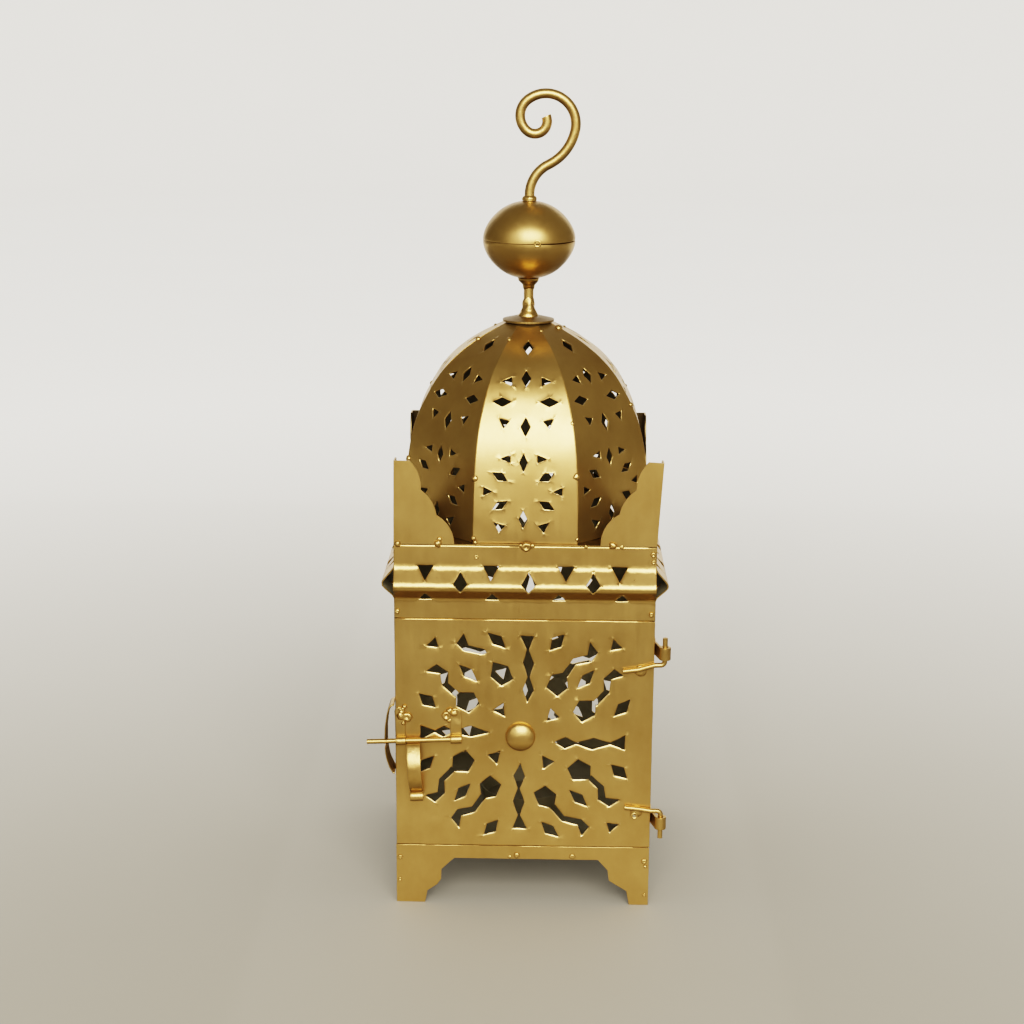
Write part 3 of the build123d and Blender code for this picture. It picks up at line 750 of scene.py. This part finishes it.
# ---- solder, ball and stem ----
def blob_mesh(blobs, seed):
    """Lumps of solder on a front face: each is x, y, z, radius, height and how deep its pit is."""
    points, faces = [], []
    around, rings = 20, 7
    unevenness, pit_width = 0.28, 0.42
    for k, (x, y, z, radius, height, pit) in enumerate(blobs):
        start = len(points)
        for ring in range(rings + 1):
            share = 1 - ring / rings
            for step in range(around):
                angle = 2 * math.pi * step / around
                uneven = 1 + unevenness * wave(math.cos(angle) * 3, math.sin(angle) * 3, seed + k, 2.2)
                reach = radius * share * uneven
                rise = height * math.sqrt(max(0.0, 1 - share ** 2)) * (0.7 + 0.3 * uneven)
                rise -= pit * math.exp(-((share / pit_width) ** 2))
                points.append((x + reach * math.cos(angle), y - rise, z + reach * math.sin(angle)))
        for ring in range(rings):
            for step in range(around):
                following = (step + 1) % around
                low, high = start + ring * around, start + (ring + 1) * around
                faces.append((low + step, low + following, high + following, high + step))
        faces.append(tuple(start + step for step in reversed(range(around))))
    return points, faces


def make_body_solder():
    """Lumps on the front of the body. Each spot is x from the middle, z, radius, height and depth of pit."""
    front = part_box("skirt_front")[0][1] / MM
    centre = BODY_AXIS.x / MM
    spots = [
        (-63.0, 192.3, 1.6, 1.2, 0.0), (-43.0, 192.7, 2.0, 1.6, 0.0), (-42.2, 195.0, 1.3, 1.0, 0.0),
        (0.6, 191.3, 2.6, 1.7, 1.2), (3.6, 191.9, 1.3, 0.8, 0.0), (-2.2, 192.0, 1.1, 0.7, 0.0),
        (43.2, 192.7, 2.1, 1.6, 0.0), (47.6, 191.7, 1.2, 0.5, 0.0), (30.0, 191.8, 0.9, 0.5, 0.0),
        (63.2, 188.0, 1.4, 1.0, 0.5), (63.4, 184.2, 1.2, 0.9, 0.5), (-24.0, 186.0, 1.2, 0.6, 0.5),
        (-63.4, 157.4, 1.3, 1.0, 0.3), (63.0, 157.2, 1.4, 1.1, 0.4), (-63.0, 25.0, 1.4, 0.9, 0.4),
        (-63.2, 12.6, 1.1, 0.7, 0.4), (62.6, 24.4, 1.5, 1.0, 0.5), (63.2, 21.6, 1.0, 0.8, 0.0),
        (63.0, 5.6, 1.1, 0.7, 0.3), (-3.0, 27.0, 1.8, 1.2, 0.3), (-6.6, 26.0, 1.0, 0.6, 0.0),
        (25.6, 26.6, 1.6, 1.0, 0.3), (-24.6, 193.4, 1.0, 0.7, 0.0),
    ]
    blobs = [(centre + x, front, z, radius, height, pit) for x, z, radius, height, pit in spots]
    stand_for(mesh_object("lumps_of_solder", *blob_mesh(blobs, 60)), "solder_beads")


def make_keeper_solder():
    """Solder run over the tops of the two keepers, with pits where it drew back.

    Each lump is x and z from the middle of the bolt, radius, height and depth of pit.
    """
    left, right = -6.8, 21.4
    blobs = [
        (left + 3.5, 11.8, 2.8, 1.9, 0.9), (left + 1.7, 8.8, 1.5, 1.7, 0.0),
        (left + 1.2, 15.6, 1.9, 2.0, 0.9), (left + 2.6, 17.4, 1.3, 1.3, 0.0),
        (left + 0.4, 12.6, 2.4, 1.9, 0.0), (right - 4.6, 12.0, 2.6, 1.9, 1.3),
        (right - 2.9, 14.6, 1.9, 1.8, 0.0), (right - 0.6, 13.4, 2.2, 1.9, 0.0),
        (right - 3.4, 9.4, 1.5, 1.1, 0.0),
    ]
    placed = [(x, BOLT_TO_DOOR, z, radius, height, pit) for x, z, radius, height, pit in blobs]
    thing = mesh_object("keeper_lumps", *blob_mesh(placed, 90))
    thing.data.transform(LATCH_PLACE)
    stand_for(thing, "keeper_solder")


# ---- hammered straps of the latch ----
LATCH_TILT = math.radians(2.4)
BOLT_LOW, BOLT_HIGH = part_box("bolt_rod")
BOLT_MIDDLE = Vector([(a + b) / 2 for a, b in zip(BOLT_LOW, BOLT_HIGH)])
BOLT_TO_DOOR = (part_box("door_panel")[0][1] - BOLT_MIDDLE.y) / MM
# The latch's shapes are made round the middle of the bolt and then tilted with it.
LATCH_PLACE = Matrix.Translation(BOLT_MIDDLE) @ Matrix.Rotation(-LATCH_TILT, 4, "Y")


def smooth_path(points, step=0.35):
    """A smooth line through the points, with one point about every step millimetres."""
    line = [Vector(p) for p in points]
    line = [line[0] * 2 - line[1], *line, line[-1] * 2 - line[-2]]
    out = []
    for before, start, end, after in zip(line, line[1:], line[2:], line[3:]):
        count = max(1, round((end - start).length / step))
        for k in range(count):
            t = k / count
            bend = (2 * before - 5 * start + 4 * end - after) * t ** 2
            twist = (3 * start - before - 3 * end + after) * t ** 3
            out.append((2 * start + (end - before) * t + bend + twist) / 2)
    out.append(line[-2])
    return out


def arc(centre, radius, first, last, count=16):
    """Points on a circle from one angle to another, in degrees."""
    angles = [math.radians(first + (last - first) * k / count) for k in range(count + 1)]
    return [(centre[0] + radius * math.cos(a), centre[1] + radius * math.sin(a)) for a in angles]


def hammered_strip(name, path, across, thickness, seed, dent=0.14):
    """A strip of sheet that follows a (y, z) path and reaches across X, with hammered faces and worn edges.

    across(share, point) says where the strip starts and ends in X at a share of its length. The first
    half of each ring of points lies on the left of travel, the second half on the right.
    """
    half = thickness / 2
    columns, corner, dent_size = 8, 4, 3.2
    # The cross-section: a share of the width, a push past its edge, and a distance from the middle plane.
    shape = []
    for side in (1, -1):
        for k in range(columns + 1):
            shape.append((k / columns if side > 0 else 1 - k / columns, 0.0, side * half))
        for k in range(1, corner):
            angle = math.pi * k / corner
            push, off = side * half * math.sin(angle), side * half * math.cos(angle)
            shape.append((1.0 if side > 0 else 0.0, push, off))
    # A station is a point, the direction of travel, the length so far and the share of the thickness.
    stations, total = [], 0.0
    for i, point in enumerate(path):
        total += (point - path[i - 1]).length if i else 0.0
        tangent = (path[min(i + 1, len(path) - 1)] - path[max(i - 1, 0)]).normalized()
        stations.append((point, tangent, total, 1.0))
    rounded_end = [(0.5, 0.87), (0.87, 0.5), (0.98, 0.2)]
    first, last = stations[0], stations[-1]
    before = [(first[0] - first[1] * half * out, first[1], 0.0, thin) for out, thin in reversed(rounded_end)]
    after = [(last[0] + last[1] * half * out, last[1], total, thin) for out, thin in rounded_end]
    stations = before + stations + after
    points, faces = [], []
    for point, tangent, along, thin in stations:
        normal = Vector((tangent.y, -tangent.x))
        low, high = across(along / total, point)
        for share, push, off in shape:
            x = low + half + (high - low - thickness) * share + push
            place = point + normal * (off * thin + dent * wave(x, along, seed, dent_size))
            points.append((x, place.x, place.y))
    around = len(shape)
    for ring in range(len(stations) - 1):
        here, following = ring * around, (ring + 1) * around
        for k in range(around):
            m = (k + 1) % around
            faces.append((here + k, here + m, following + m, following + k))
    faces.append(tuple(range(around)))
    faces.append(tuple((len(stations) - 1) * around + k for k in reversed(range(around))))
    return welded(mesh_object(name, points, faces))


def make_keepers():
    """Each keeper is soldered to the door at its rounded top and rolled round the bolt at its foot."""
    roll, thickness = 1.78, 0.86
    rounded, blunt, narrowest = 2.4, 0.2, 0.35
    for side, low, high, top in (("left", -9.35, -4.3, 16.8), ("right", 18.45, 24.3, 15.2)):
        line = [(1.95, top), (1.92, top - 4.0), (1.7, 7.0), (1.72, 3.2)] + arc((0, 0), roll, 8, -292, 24)

        def across(share, point, low=low, high=high, top=top):
            into_top = max(0.0, (point.y - top + rounded) / (rounded + blunt))
            rounding = math.sqrt(max(0.0, 1 - into_top ** 2))
            middle, reach = (low + high) / 2, (high - low) / 2 * (narrowest + (1 - narrowest) * rounding)
            uneven = 0.35 * wave(point.y, low, 81, 4.0)
            return middle - reach + uneven, middle + reach + uneven

        thing = hammered_strip(side + "_keeper_strap", smooth_path(line), across, thickness, 80 + len(side))
        thing.data.transform(LATCH_PLACE)
        stand_for(thing, "bolt_keeper_" + side)


def make_handle():
    """A strap that hangs from the bolt, bowed forwards, and is rolled up at its foot for the finger."""
    curl, roll, thickness = (-2.7, -29.0), 2.15, 0.9
    left, right, lean = -4.2, 3.0, 0.9
    line = [(0.9, -1.5), (-0.9, -2.0), (-3.4, -4.6), (-5.9, -8.8), (-7.0, -13.6), (-6.7, -18.2),
            (-5.0, -22.8), (-2.6, -26.2)] + arc(curl, roll, 24, -302, 26)

    def across(share, point):
        leant = lean * min(1.0, share * 1.6)
        return left + leant, right + leant * 0.6

    thing = hammered_strip("handle_strap", smooth_path(line), across, thickness, 85, dent=0.1)
    thing.data.transform(LATCH_PLACE)
    stand_for(thing, "bolt_handle")


def make_side_keeper():
    """A strap bowed out from the left wall, with painted shade on its inner face, and a slot for the bolt."""
    wall = (BODY_AXIS.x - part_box("left_wall")[0][0]) / MM
    bow = [(0.45, 110.0), (2.2, 108.6), (3.6, 103.6), (4.5, 96.0), (4.6, 89.5), (4.2, 83.5), (2.9, 78.0),
           (1.2, 74.4), (0.45, 73.6)]
    line = [(wall + out, z) for out, z in bow]
    front, back, slot_back = -70.9, -58.6, -65.5
    slot_z, half_slot = 89.5, 1.9
    thickness, faces_wall = 0.85, 0.3

    def across(share, point):
        return (slot_back if abs(point.y - slot_z) < half_slot else front), back

    thing = hammered_strip("side_keeper_strap", smooth_path(line), across, thickness, 88)
    thing.data.transform(Matrix.Translation(BODY_AXIS) @ Matrix.Rotation(math.pi / 2, 4, "Z"))
    stand_for(thing, "side_keeper")
    # painted shade on the faces that look towards the wall
    thing.data.materials.append(SHADE_GOLD)
    for face in thing.data.polygons:
        if face.normal.x > faces_wall:
            face.material_index = 1


def welded(thing):
    """The same shape with points in one place joined, and every face turned outwards."""
    work = bmesh.new()
    work.from_mesh(thing.data)
    bmesh.ops.remove_doubles(work, verts=work.verts, dist=1e-6)
    bmesh.ops.recalc_face_normals(work, faces=work.faces)
    work.to_mesh(thing.data)
    work.free()
    return thing


def on_axis(thing):
    """Move a shape turned about its own Z axis onto the body's centre line."""
    thing.data.transform(Matrix.Translation(BODY_AXIS))
    return thing


def make_ball():
    """Two spun half shells whose rims are turned in a little, so that the seam shows as a fine groove."""
    low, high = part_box("ball_lower_half")
    radius = (high[0] - low[0]) / 2 / MM
    seam = high[2] / MM
    half_height = seam - low[2] / MM
    hole, steps, rim = 2.6, 30, 0.35
    waist_depth, wall = 0.035, SHEET * 0.6
    sag, sag_start, sag_side = 0.45, 0.6, -0.9
    for side, node in ((-1, "ball_lower_half"), (1, "ball_upper_half")):
        outline = [(radius - rim * 1.4, seam + side * 0.02), (radius - rim * 0.5, seam + side * rim * 0.3)]
        for i in range(1, steps + 1):
            angle = math.acos(hole / radius) * i / steps
            waist = 1 - waist_depth * math.sin(2 * angle) ** 2
            outline.append((radius * math.cos(angle) * waist, seam + side * half_height * math.sin(angle)))
        inner = [(max(r - SHEET, hole), z - side * wall) for r, z in reversed(outline[2:])]
        outline += inner + [outline[0]]

        def uneven(angle, z):
            fade = min(1.0, abs(z - seam))
            dent = -0.12 + 0.3 * wave(math.cos(angle) * 20, math.sin(angle) * 20 + z, 71, 16.0)
            return min(0.0, dent) * fade - 0.02

        thing = lathe("spun_" + node, outline, 96, wobble=uneven)
        for vertex in thing.data.vertices:
            x, y, z = vertex.co / MM
            reach = math.hypot(x, y)
            if side < 0 and reach > radius * sag_start:
                opening = max(0.0, math.cos(math.atan2(y, x) - sag_side)) ** 3
                vertex.co.z -= sag * MM * opening * (reach / radius) ** 6
        stand_for(on_axis(welded(thing)), node, material=BALL_GOLD, sharp_degrees=50.0)


def make_stem():
    """Solder run round the rod: a cone on the cap, a lump, a cone under the ball and a collar over it."""
    low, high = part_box("stem_solder")
    foot, top = low[2] / MM, high[2] / MM
    ball_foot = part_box("ball_lower_half")[0][2] / MM
    ball_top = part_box("ball_upper_half")[1][2] / MM
    rod, spacing = 2.52, 0.35
    foot_cone = [
        (rod, foot), (5.5, foot), (5.2, foot + 0.6), (4.5, foot + 1.8), (3.7, foot + 3.4), (3.35, foot + 5.0),
        (3.2, foot + 6.6), (2.9, foot + 8.2), (rod, foot + 9.6),
    ]
    upper_cone = [
        (rod, ball_foot - 5.6), (3.0, ball_foot - 4.4), (3.5, ball_foot - 3.2), (4.6, ball_foot - 1.9),
        (5.5, ball_foot - 0.8), (5.7, ball_foot + 0.3), (4.6, ball_foot + 0.4), (rod, ball_foot + 0.1),
    ]
    collar = [(rod, ball_top), (3.8, ball_top), (3.9, top - 1.6), (3.3, top - 0.6), (rod, top - 0.1)]

    def uneven(angle, z):
        return 0.55 * min(0.35, wave(math.cos(angle) * 3, math.sin(angle) * 3 + z * 1.3, 77, 3.0)) - 0.12

    shapes = []
    for k, outline in enumerate((foot_cone, upper_cone, collar)):
        fine = []
        for (r0, z0), (r1, z1) in zip(outline, outline[1:]):
            count = max(1, int(abs(z1 - z0) / spacing))
            fine += [(r0 + (r1 - r0) * i / count, z0 + (z1 - z0) * i / count) for i in range(count)]
        fine.append(outline[-1])
        shapes.append(on_axis(lathe(f"stem_part_{k}", fine, 40, wobble=uneven)))
    joined = bmesh.new()
    for shape in shapes:
        joined.from_mesh(shape.data)
        bpy.data.objects.remove(shape)
    bmesh.ops.recalc_face_normals(joined, faces=joined.faces)
    thing = mesh_object("stem_lumps", [], [])
    joined.to_mesh(thing.data)
    joined.free()
    stand_for(thing, "stem_solder")


def ring_mesh(name, place, ring_radius, wire):
    """A small ring of solder that lies flat against a front face."""
    points, faces = [], []
    around, across, flatness = 24, 8, 0.9
    for i in range(around):
        turn = 2 * math.pi * i / around
        for j in range(across):
            roll = 2 * math.pi * j / across
            reach = ring_radius + wire * math.cos(roll)
            points.append((place.x + reach * math.cos(turn), place.y - wire * flatness * math.sin(roll),
                           place.z + reach * math.sin(turn)))
            here, after = i * across, ((i + 1) % around) * across
            m = (j + 1) % across
            faces.append((here + j, after + j, after + m, here + m))
    return mesh_object(name, points, faces)


def make_rings():
    """A ring of solder on the seam of the ball, and one under the lower hinge arm with a flat dark disc in it
    as the painted shade of its pit.
    """
    low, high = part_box("ball_upper_half")
    radius = (high[0] - low[0]) / 2 / MM
    on_seam = Vector((4.4, -radius * 0.975, low[2] / MM + 0.2))
    ball_ring = on_axis(ring_mesh("ball_ring", on_seam, 1.45, 0.5))
    finish_piece(ball_ring, NODE_BODY["ball_upper_half"], "solder_gold")
    low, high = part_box("hinge_arm_lower")
    middle = Vector((low[0] / MM + 5.2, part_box("door_panel")[0][1] / MM - 1.3, high[2] / MM - 5.6))
    hinge_ring = ring_mesh("hinge_ring", middle, 1.35, 0.55)
    finish_piece(hinge_ring, NODE_BODY["hinge_arm_lower"], "solder_gold")
    # a flat dark disc just proud of the door: painted shade for the pit in the ring
    around, shade_disc_radius, proud = 16, 1.0, 0.12
    circle = arc((0.0, 0.0), shade_disc_radius, 0, 360 - 360 / around, around - 1)
    rim = [(middle.x + x, middle.y - proud, middle.z + z) for x, z in circle]
    pit = mesh_object("hinge_pit_painted_shade", rim, [tuple(range(around))])
    finish_piece(pit, NODE_BODY["hinge_arm_lower"], "solder_gold", INSIDE)


def make_seam_solder():
    """Beads of solder at the foot, half way up and at the top of the dome's seams."""
    bend = Section(skin_loops("dome_gore_1", 0.0)[1])
    step = math.pi / 4
    smallest, flatness, shift, foot_top, sunk = 0.85, 0.75, 9.0, 200, 0.35
    joined = bmesh.new()
    for k in range(8):
        for j, height in enumerate((194.6, 199.0, 226.0, 256.0, 288.5)):
            size = 1.15 + 1.5 * wave(k * 3.1, j * 2.3, 97, 1.9)
            if size < smallest:
                continue
            if height > foot_top:
                height += shift * wave(j * 4.1, k * 1.7, 98, 1.9)
            normal_y, normal_z = bend.normal(bend.along(height))
            radius = -np.interp(height, bend.z, bend.y) / math.cos(step / 2) - sunk
            lump = (0.0, 0.0, 0.0, size, size * flatness, 0.0)
            bead = mesh_object("bead", *blob_mesh([lump], 7 * k + j))
            bead.data.transform(
                Matrix.Translation(BODY_AXIS) @ Matrix.Rotation(step * (k + 0.5), 4, "Z")
                @ Matrix.Translation(Vector((0.0, -radius, height)) * MM)
                @ Matrix.Rotation(-math.atan2(normal_z, -normal_y), 4, "X"))
            joined.from_mesh(bead.data)
            bpy.data.objects.remove(bead)
    thing = mesh_object("seam_beads", [], [])
    joined.to_mesh(thing.data)
    joined.free()
    finish_piece(thing, NODE_BODY["dome_gore_1"], "solder_gold")


# ---- CAD nodes that stay, with dulled edges ----
def keep_node(node, material, edge):
    """A CAD node as it is, with edges dulled over edge millimetres."""
    thing = NODES[node]
    weld = thing.modifiers.new("weld", "WELD")
    weld.merge_threshold = SAME_PLACE
    bevel = thing.modifiers.new("dulled_edges", "BEVEL")
    bevel.width = edge * MM
    bevel.segments = 2
    bevel.limit_method = "ANGLE"
    bevel.angle_limit = math.radians(40)
    thing.data.shade_smooth()
    normals = thing.modifiers.new("normals", "WEIGHTED_NORMAL")
    normals.keep_sharp = True
    thing.data.materials.clear()
    thing.data.materials.append(material)


def make_kept_nodes():
    """Every CAD node that no detailed piece stands for."""
    usual_edge, crest_edge = 0.18, 0.38
    # The floor plate and candle cup are dull inner sheet kept dark as painted shade; the frame and crests get
    # painted shade on their inward faces; the deck and cap are darker copies of the gold as painted shade.
    special = {
        "floor_plate": INSIDE, "candle_cup": INSIDE, "front_frame": OUTSIDE_GOLD, "roof_deck": SHADE_GOLD,
        "cap_plate": CAP_GOLD,
    }
    for node in [name for name, thing in NODES.items() if not thing.hide_render]:
        if node.startswith("crest"):
            keep_node(node, OUTSIDE_GOLD, crest_edge)
        else:
            keep_node(node, special.get(node, MATERIALS[NODE_SLOT[node]]), usual_edge)


make_camera()
make_world()
make_floor()
make_cloths()
make_window()
make_sheets()
make_body_solder()
make_keeper_solder()
make_keepers()
make_handle()
make_side_keeper()
make_ball()
make_rings()
make_seam_solder()
make_stem()
make_kept_nodes()
